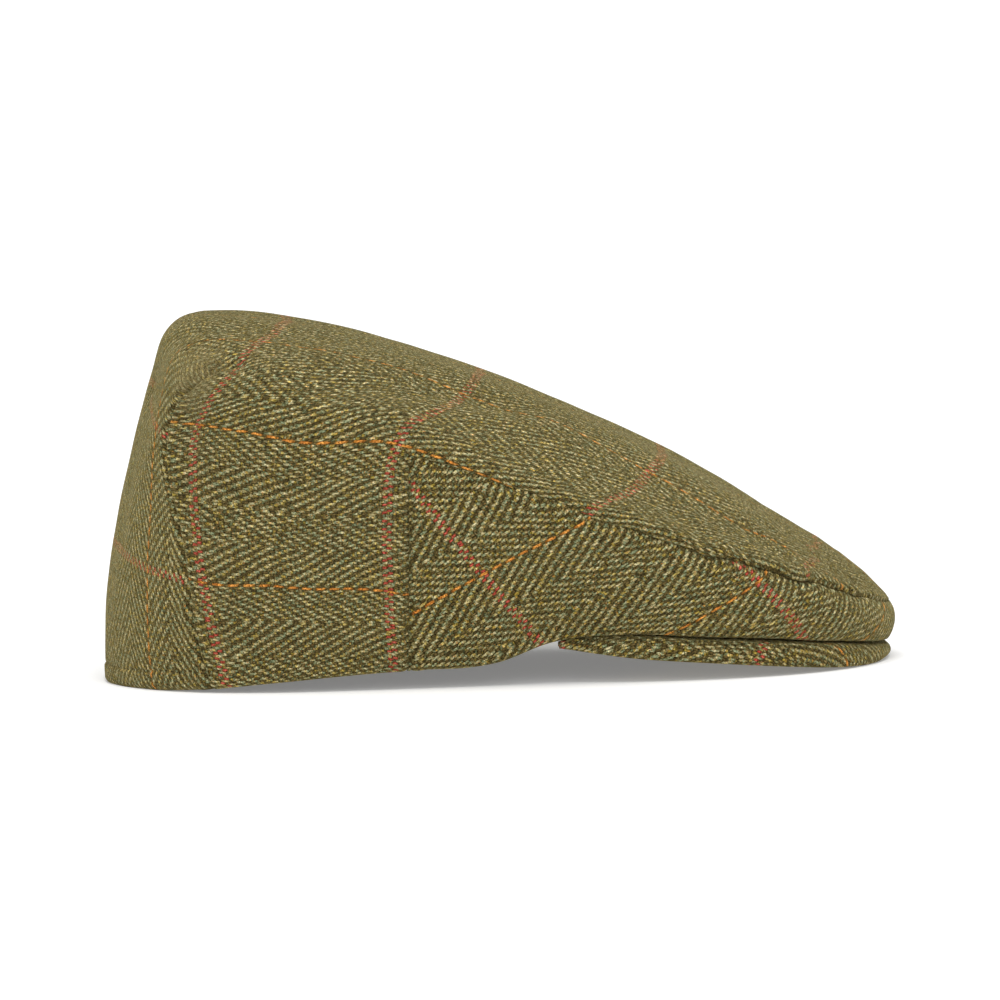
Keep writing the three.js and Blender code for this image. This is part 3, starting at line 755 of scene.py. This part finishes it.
def side_chart(t, h, side):
    """Chart of a side panel, summed up along it in steps of a millimetre."""
    along, height = side_place(t, h)
    run = np.arange(0.0, SIDE_LENGTH + 1)
    warp = np.radians(curve_value(SIDE_GRAIN, "along", "warp", run))
    weft = np.radians(curve_value(SIDE_GRAIN, "along", "weft", run))
    weft_run = np.cumsum(np.cos(weft)) - np.cos(weft[0])
    warp_run = np.cumsum(np.sin(warp)) - np.sin(warp[0])
    a = np.interp(along, run, weft_run) + height * np.sin(np.interp(along, run, weft))
    b = height * np.cos(np.interp(along, run, warp)) - np.interp(along, run, warp_run)
    return np.stack([a + SIDE_SHIFT[0], -side * (b + SIDE_SHIFT[1])], -1)


POINTS_PER_SPAN = 4


def closed_curve(keys):
    """Smooth closed section through the key points of each station, sharp between the last and the first."""
    size = keys.shape[1]
    ring = []
    for k in range(size):
        a, b, c, d = (keys[:, (k + m) % size] for m in (-1, 0, 1, 2))
        for f in np.arange(POINTS_PER_SPAN) / POINTS_PER_SPAN:
            smooth = 2 * b + (c - a) * f + (2 * a - 5 * b + 4 * c - d) * f**2
            smooth = 0.5 * (smooth + (3 * b - a - 3 * c + d) * f**3)
            ring.append(b * (1 - f) + c * f if k == size - 1 else smooth)
    return np.stack(ring, 1)


def peak_section(t):
    """Key points of the peak's section: over the top from inside the cap, round the lip and back below."""
    value = {name: table_value(PEAK, name, t, False) for name in PEAK}
    outward = wall_outward(t)
    down = np.array([0.0, 0.0, -1.0])
    base = rim_point(t) + PEAK_CLEARANCE * down
    rear = np.stack([value["in_x"], value["in_half"], value["in_z"]], -1)
    drop = base[:, 2] - value["low"]
    lip = np.maximum(drop - value["thick"], 0)

    def top_at(share):
        return rear * (1 - share) + base * share - down * (PEAK_CROWNING * 2 * share * (1 - share))

    def edge_at(out, fall):
        return base + outward * (out * value["reach"])[:, None] + down * fall[:, None]

    def under(share, lip_share):
        return top_at(share) + down * (value["thick"] + lip * lip_share)[:, None]

    keys = [top_at(share) for share in PEAK_TOP_SHARES]
    keys += [edge_at(0.5, drop * 0.12), edge_at(0.85, drop * 0.34), edge_at(1.0, drop * 0.62)]
    keys += [edge_at(0.9, drop * 0.86), edge_at(0.45, drop), edge_at(-0.4, drop - lip * 0.12)]
    keys += [under(0.93, 0.45), under(0.8, 0.12), under(0.55, 0), under(0.28, 0), under(0.0, 0)]
    return np.stack(keys, 1)


def peak_piece():
    """Covered peak, closed at its two pointed ends."""
    half = spaced(np.arange(0, PEAK_END, 0.06), PEAK_END)
    stations = np.concatenate([-half[:0:-1], half])
    t = np.abs(stations)
    side = np.where(stations < 0, -1.0, 1.0)
    ring = closed_curve(peak_section(t))
    n, m = ring.shape[:2]
    faces = []
    for i in range(n - 1):
        for j in range(m):
            k = (j + 1) % m
            faces.append([i * m + j, i * m + k, (i + 1) * m + k, (i + 1) * m + j])
    faces += [list(range(m))[::-1], list(range((n - 1) * m, n * m))]

    # The cloth lies flat over the top and is wrapped outward round the edge
    edge = (len(PEAK_TOP_SHARES) - 1) * POINTS_PER_SPAN
    steps = np.linalg.norm(np.diff(ring, axis=1), axis=-1)
    beyond = np.maximum(running_sum(steps, 1, edge), 0)[..., None]
    wrapped = ring[:, [edge]] + wall_outward(t)[:, None] * beyond
    spread = np.where(np.arange(m)[None, :, None] <= edge, ring, wrapped)
    across = side[:, None] * spread[..., 1] + PEAK_ORANGE_HALF + ORANGE_AT
    places = np.stack([spread[..., 0] - PEAK_RED_X, across], -1).reshape(-1, 2)[np.concatenate(faces)]
    points = settle(ring.reshape(-1, 3), np.repeat(side, m))
    return mesh_piece("peak_tweed", points, faces, places.reshape(-1), [FACE_SIDE] * len(faces))


# Herringbone tweed, in millimetres of the cloth: a 2/1 twill that turns over every fourteen warp ends
WARP_PITCH = 1.0
PICK_PITCH = 1.8
TWILL = 3.0
BAND_ENDS = 14.0
ORANGE_ENDS = 56.0
RED_PICKS = 38.0
YARN_SLANT = -0.35


class Num:
    """A number in a node tree that takes part in plain arithmetic."""

    def __init__(self, tree, socket):
        self.tree, self.socket = tree, socket

    def calc(self, operation, *others):
        node = self.tree.nodes.new("ShaderNodeMath")
        node.operation = operation
        for slot, value in zip(node.inputs, (self, *others)):
            plug(self.tree, slot, value)
        return Num(self.tree, node.outputs[0])

    def __add__(self, other):
        return self.calc("ADD", other)

    def __sub__(self, other):
        return self.calc("SUBTRACT", other)

    def __mul__(self, other):
        return self.calc("MULTIPLY", other)

    def __truediv__(self, other):
        return self.calc("DIVIDE", other)

    def floor(self):
        return self.calc("FLOOR")

    def fract(self):
        return self.calc("FRACT")

    def wrap(self, size):
        return self.calc("FLOORED_MODULO", size)

    def clamp(self):
        return self.calc("MAXIMUM", 0.0).calc("MINIMUM", 1.0)

    def between(self, low, high):
        return ((self - low) / (high - low)).clamp()


def plug(tree, slot, value):
    """Links a value to a node's input, or sets it there if it is constant."""
    if isinstance(value, Num):
        tree.links.new(value.socket, slot)
    elif isinstance(value, bpy.types.NodeSocket):
        tree.links.new(value, slot)
    else:
        slot.default_value = value


def vector(tree, x, y, z=0.0):
    """A place for a noise; a number for z only sets it apart from other noises."""
    node = tree.nodes.new("ShaderNodeCombineXYZ")
    for slot, value in zip(node.inputs, (x, y, z)):
        plug(tree, slot, value)
    return node.outputs[0]


def axes(tree, socket):
    """The three parts of a vector."""
    node = tree.nodes.new("ShaderNodeSeparateXYZ")
    tree.links.new(socket, node.inputs[0])
    return [Num(tree, part) for part in node.outputs]


def noise(tree, place, scale, detail=2.0):
    node = tree.nodes.new("ShaderNodeTexNoise")
    node.inputs["Scale"].default_value = scale
    node.inputs["Detail"].default_value = detail
    plug(tree, node.inputs["Vector"], place)
    return Num(tree, node.outputs["Fac"])


def scatter(tree, place):
    node = tree.nodes.new("ShaderNodeTexWhiteNoise")
    node.noise_dimensions = "3D"
    plug(tree, node.inputs["Vector"], place)
    return Num(tree, node.outputs["Value"])


def linear(colour):
    """From 0 to 255 as seen on screen to scene-linear."""
    parts = [c / 255 for c in colour]
    return tuple(c / 12.92 if c <= 0.04045 else ((c + 0.055) / 1.055) ** 2.4 for c in parts) + (1.0,)


def blend(tree, share, first, second, mode="MIX"):
    node = tree.nodes.new("ShaderNodeMix")
    node.data_type = "RGBA"
    node.blend_type = mode
    plug(tree, node.inputs[0], share)
    for slot, value in ((node.inputs[6], first), (node.inputs[7], second)):
        plug(tree, slot, linear(value) if isinstance(value, tuple) and len(value) == 3 else value)
    return node.outputs[2]


def ramp(tree, share, stops):
    node = tree.nodes.new("ShaderNodeValToRGB")
    plug(tree, node.inputs[0], share)
    elements = node.color_ramp.elements
    for k, (place, colour) in enumerate(stops):
        element = elements[k] if k < 2 else elements.new(place)
        element.position = place
        element.color = linear(colour)
    return node.outputs[0]


# A fuzzy nap hides the weave at the rubbed rear corners: place and reach in metres, with the cap at rest
RUBBED_AT = (-0.100, 0.069, 0.108)
RUBBED_REACH = (0.013, 0.016, 0.016)

WARP_TONES = [
    (0.3, (76, 67, 40)),
    (0.42, (130, 119, 79)),
    (0.54, (160, 148, 106)),
    (0.7, (190, 180, 140)),
]
WEFT_TONES = [(0.3, (64, 54, 30)), (0.5, (102, 86, 50)), (0.7, (138, 120, 78))]
NAP_TONES = [(0.35, (84, 74, 44)), (0.65, (164, 150, 106))]
ORANGE_TONES = [(176, 102, 36), (226, 150, 62)]
RED_TONES = [(182, 58, 52), (226, 102, 90)]
GREEN_GREY = (120, 134, 104)
MUSTARD = (176, 152, 62)
RUST_FLECK = (190, 116, 46)
YELLOW_FLECK = (218, 208, 104)

# Constant values of the two shaders
WOOL = {
    "Roughness": 0.93,
    "Specular IOR Level": 0.05,
    "Sheen Weight": 0.4,
    "Sheen Roughness": 0.28,
    "Sheen Tint": linear((214, 200, 132)),
}
PALE_FLOOR = {
    "Base Color": (0.9, 0.9, 0.9, 1.0),
    "Roughness": 1.0,
    "Specular IOR Level": 0.0,
    "Emission Color": (1.0, 1.0, 1.0, 1.0),
    "Emission Strength": 0.2,
}


def set_shader(material, values):
    """Sets constant values on a material's shader and returns it."""
    shader = material.node_tree.nodes["Principled BSDF"]
    for name, value in values.items():
        shader.inputs[name].default_value = value
    return shader


def rubbed_corner(tree, place):
    """One at the end of each rear corner dart, falling to nothing round it."""
    x, y, z = axes(tree, place)
    folded = (x, y.calc("ABSOLUTE"), z)
    away = [(at - middle) / reach for at, middle, reach in zip(folded, RUBBED_AT, RUBBED_REACH)]
    distance = away[0] * away[0] + away[1] * away[1] + away[2] * away[2]
    return (distance * -1.0 + 1.0).clamp()


def wandering_yarns(tree):
    """The cloth's coordinates along and across the warp, off which the yarns wander a little."""
    uv = tree.nodes.new("ShaderNodeUVMap")
    uv.uv_map = "Cloth"
    a, b, _ = axes(tree, uv.outputs[0])
    a = a + (noise(tree, vector(tree, a, b), 0.07, 1) - 0.5) * 1.1
    b = b + (noise(tree, vector(tree, a, b, 40.0), 0.1, 1) - 0.5) * 1.0
    b = b + (noise(tree, vector(tree, a * 0.5, b, 80.0), 1.0, 1) - 0.5) * 0.5
    return a, b - ORANGE_AT


def herringbone(a, b):
    """The weave at a place: its warp end and pick, which yarn comes to the face and how high it stands."""
    weave = SimpleNamespace()
    weave.end = (b / WARP_PITCH).floor()
    weave.across = (b / WARP_PITCH).fract()
    pick = a / PICK_PITCH
    weave.pick = pick.floor()
    lean = (weave.end / BAND_ENDS).floor().wrap(2.0) * -2.0 + 1.0
    course = pick + lean * weave.end + (weave.across - 0.5) * YARN_SLANT
    weave.float_number = course.floor()
    step = (course / TWILL).fract() * TWILL
    weave.orange = weave.end.wrap(ORANGE_ENDS).calc("LESS_THAN", 0.5)
    weave.red = weave.pick.wrap(RED_PICKS).calc("LESS_THAN", 1.5)
    float_length = weave.orange * 0.5 + 2.0
    warp_arch = ((step / float_length).clamp() * math.pi).calc("SINE").clamp().calc("POWER", 0.9)
    weft_arch = ((step - 2.0).clamp() * math.pi).calc("SINE").clamp().calc("POWER", 0.6)
    crest = weave.across * 2.0 - 1.0
    warp_rise = (crest * crest * -1.0 + 1.0).clamp().calc("POWER", 0.35) * warp_arch
    weft_rise = (crest * crest * -0.7 + 1.0).clamp() * weft_arch * 0.7
    weave.warp_shows = ((warp_rise - weft_rise) * 6.0 + 0.5).clamp()
    weave.rise = warp_rise.calc("MAXIMUM", weft_rise)
    return weave


def yarn_colours(tree, a, b, weave, upward):
    """Heather yarns of two plies with their own tones and flecks, and the check's orange and red."""
    ply = ((a * 0.62 + weave.across * 0.55 + weave.end * 0.37) * (2 * math.pi)).calc("SINE")
    bead = scatter(tree, vector(tree, weave.end, weave.float_number, 3.0))
    along = noise(tree, vector(tree, a * 0.6, weave.end * 5.37), 1.0, 3)
    warp = ramp(tree, along * 0.6 + bead * 0.44 - 0.02 + ply * 0.06, WARP_TONES)
    hue = noise(tree, vector(tree, a * 0.8, weave.end * 3.71, 9.0), 1.0, 2)
    warp = blend(tree, hue.between(0.5, 0.58) * 0.8, warp, GREEN_GREY)
    warp = blend(tree, hue.between(0.47, 0.38) * 0.65, warp, MUSTARD)
    fleck = noise(tree, vector(tree, a * 1.1, b * 1.7, 17.0), 1.0, 1)
    warp = blend(tree, fleck.between(0.62, 0.7) * 0.7, warp, RUST_FLECK)
    warp = blend(tree, fleck.between(0.3, 0.24) * 0.6, warp, YELLOW_FLECK)
    tone = noise(tree, vector(tree, weave.pick * 4.3, b * 0.9, 21.0), 1.0, 3)
    weft = ramp(tree, tone, WEFT_TONES)

    # An orange end on a band's edge and two red picks, seen where they come to the face
    lines = upward * 0.06 + 0.9
    glow = along * 0.6 + bead * 0.4
    warp = blend(tree, weave.orange * lines, warp, blend(tree, glow.between(0.25, 0.75), *ORANGE_TONES))
    weft = blend(tree, weave.red * lines, weft, blend(tree, tone.between(0.35, 0.65), *RED_TONES))
    return blend(tree, weave.warp_shows, weft, warp)


def tweed(name, lightness, fuzz):
    """Material of one cloth: lightness scales its tones, and fuzz is how far the nap veils the weave."""
    material = bpy.data.materials.new(name)
    material.use_nodes = True
    tree = material.node_tree
    a, b = wandering_yarns(tree)
    weave = herringbone(a, b)
    coordinates = tree.nodes.new("ShaderNodeTexCoord")
    upward = axes(tree, coordinates.outputs["Normal"])[2].between(0.35, 0.9)
    rubbed = rubbed_corner(tree, coordinates.outputs["Object"])
    colour = yarn_colours(tree, a, b, weave, upward)

    # Painted shade darkens the gaps and the dips at the yarns' ends, and fibres break up every yarn
    fibres = noise(tree, vector(tree, a * 1.3 + b * 0.8, b * 2.1 - a * 0.6, 5.0), 1.0, 2).between(0.34, 0.66)
    hairs = noise(tree, vector(tree, a * 0.9 - b * 2.4, b * 0.9 + a * 2.2, 33.0), 1.0, 2).between(0.34, 0.66)
    grain = fibres * 0.55 + hairs * 0.45
    nap_clumps_and_painted_shade = noise(tree, vector(tree, a * 0.85, b * 0.4, 70.0), 1.0, 2).between(0.3, 0.7)
    bridge = noise(tree, vector(tree, a * 1.6 - b * 0.5, b * 1.2 + a * 0.3, 90.0), 1.0, 2)
    height = (weave.rise * 1.06 + 0.02).calc("MAXIMUM", bridge.between(0.44, 0.68) * 0.7)
    shade = height * (grain * 2.2 - 0.2).calc("MAXIMUM", 0.12) * lightness
    # On upward faces the milled nap clumps: partly nap, partly painted shade that darkens and lightens
    # patches of the weave
    shade = shade * (upward * (nap_clumps_and_painted_shade - 0.5) * 2.9 + 1.0).calc("MAXIMUM", 0.2)
    # Deep painted shade loses blue faster than red and green
    deep = shade * (shade.clamp() * 0.36 + 0.64)
    colour = blend(tree, 1.0, colour, vector(tree, shade, shade, deep), "MULTIPLY")
    nap = noise(tree, vector(tree, a * 1.3, b * 1.3, 60.0), 1.0, 3)
    # The nap veils the weave, with a little more on upward faces as painted haze
    veil = (grain * 0.5 + 0.5) * (upward * 0.06 + rubbed * 0.62 + fuzz)
    colour = blend(tree, veil, colour, ramp(tree, nap * 0.6 + grain * 0.4, NAP_TONES))

    bump = tree.nodes.new("ShaderNodeBump")
    bump.inputs["Strength"].default_value = 0.85
    bump.inputs["Distance"].default_value = 0.42 * MM
    plug(tree, bump.inputs["Height"], weave.rise + fibres * 0.35 + hairs * 0.2)
    shader = set_shader(material, WOOL)
    plug(tree, shader.inputs["Base Color"], colour)
    tree.links.new(bump.outputs[0], shader.inputs["Normal"])
    return material


crown = crown_piece()
side_right = side_piece("front_side_right_tweed", -1)
side_left = side_piece("front_side_left_tweed", 1)
peak = peak_piece()

face_cloth = tweed("crown_tweed", 1.12, 0.09)
side_cloth = tweed("side_tweed", 1.12, 0.06)
reverse_cloth = tweed("reverse_tweed", 0.8, 0.4)
for piece, node, slot, cloth in (
    (crown, "crown_cloth", "crown_tweed", face_cloth),
    (side_right, "front_side_right", "side_tweed", side_cloth),
    (side_left, "front_side_left", "side_tweed", side_cloth),
    (peak, "peak", "peak_tweed", side_cloth),
):
    piece.data.materials.append(cloth)
    piece.data.materials.append(reverse_cloth)
    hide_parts(node)
    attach(piece, "root")

# Camera: a long lens, four degrees above the cap and turned with it, so that the drawing frame lies square.
# The cap's 270 mm take 789 of the view's 1000 pixels.
VIEW_PIXELS = 1000
ORIGIN_COLUMN, ORIGIN_ROW = 105, 688
PIXEL_MM = 270.0 / 789.0
VIEW_WIDTH = VIEW_PIXELS * PIXEL_MM * MM
RIGHT_OF_ORIGIN = (VIEW_PIXELS / 2 - ORIGIN_COLUMN) * PIXEL_MM
ABOVE_ORIGIN = (ORIGIN_ROW - VIEW_PIXELS / 2) * PIXEL_MM
CAMERA_DISTANCE = 4.0
ELEVATION = math.radians(4.0)
SENSOR = 36.0
camera_data = bpy.data.cameras.new("camera")
camera_data.sensor_width = SENSOR
camera_data.lens = SENSOR * CAMERA_DISTANCE / VIEW_WIDTH
camera_data.clip_end = 50
camera = add_object("camera", camera_data)
target = Vector(settle(np.array([RIGHT_OF_ORIGIN, 0.0, ABOVE_ORIGIN]), 1))
away = Vector((0, -math.cos(ELEVATION), math.sin(ELEVATION)))
camera.location = target + away * CAMERA_DISTANCE
level = (-away).to_track_quat("-Z", "Y").to_matrix()
camera.rotation_euler = (level @ Matrix.Rotation(-REST_TILT, 3, "Z")).to_euler()
bpy.context.scene.camera = camera

# A wide pale floor under an even sky that is white at the horizon, and two soft suns
FLOOR_HALF = 40
square = [(-FLOOR_HALF, -FLOOR_HALF, 0), (FLOOR_HALF, -FLOOR_HALF, 0)]
square += [(FLOOR_HALF, FLOOR_HALF, 0), (-FLOOR_HALF, FLOOR_HALF, 0)]
floor_mesh = bpy.data.meshes.new("floor")
floor_mesh.from_pydata(square, [], [(0, 1, 2, 3)])
floor = add_object("floor", floor_mesh)
pale = bpy.data.materials.new("pale_floor")
pale.use_nodes = True
set_shader(pale, PALE_FLOOR)
floor_mesh.materials.append(pale)

# Strength of the sky overhead, at the horizon, and how much of it is left before and behind the cap
SKY = 0.62
HORIZON = 1.0
END_LIGHT = 0.42
world = bpy.data.worlds.new("world")
bpy.context.scene.world = world
world.use_nodes = True
sky = world.node_tree
east, _, up = axes(sky, sky.nodes.new("ShaderNodeTexCoord").outputs["Generated"])
endways = east.calc("ABSOLUTE").between(0.55, 0.95) * (1.0 - END_LIGHT)
strength = (up.between(0.12, 0.4) * (SKY - HORIZON) + HORIZON) * (endways * -1.0 + 1.0)
plug(sky, sky.nodes["Background"].inputs["Strength"], strength)
sky.nodes["Background"].inputs["Color"].default_value = (1, 1, 1, 1)


def sun(name, towards, strength, spread):
    data = bpy.data.lights.new(name, "SUN")
    data.energy = strength
    data.angle = math.radians(spread)
    lamp = add_object(name, data)
    lamp.rotation_euler = Vector(towards).to_track_quat("-Z", "Y").to_euler()


sun("key", (0.0, 0.4, -1.0), 1.6, 40)
sun("front", (-0.05, 1.0, -0.22), 0.95, 45)
bpy.context.scene.view_settings.view_transform = "Standard"
